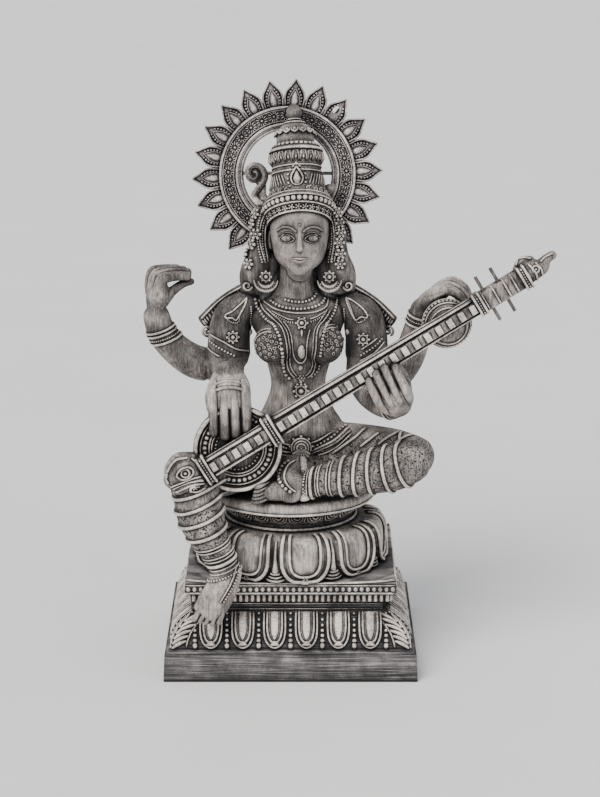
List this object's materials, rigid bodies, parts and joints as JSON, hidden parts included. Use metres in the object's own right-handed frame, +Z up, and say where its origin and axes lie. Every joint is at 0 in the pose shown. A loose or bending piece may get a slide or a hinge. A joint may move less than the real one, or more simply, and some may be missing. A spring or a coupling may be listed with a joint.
{
  "type": "saraswati figure",
  "caption": "Four-armed seated goddess playing a long-necked lute on a lotus seat and square plinth, with a pierced halo of leaves behind the crown.",
  "frame": {"origin": "middle of the plinth's underside", "axes": "+Z up, -Y towards the viewer, +X towards the figure's left hand"},
  "size_m": [0.6328, 0.3787, 0.9013],
  "materials": {
    "washed_stone": "charcoal ground, dry-brushed with cream",
    "washed_stone_halo": "charcoal ground, dry-brushed with cream",
    "pin_steel": "dull, painted over",
    "peg_steel": "dull, painted over"
  },
  "bodies": {
    "root": {"figure_on_lotus_plinth": "washed_stone", "halo": "washed_stone_halo", "halo_pin": "pin_steel", "peg_rod_1": "peg_steel", "peg_rod_2": "peg_steel"}
  },
  "joints": []
}
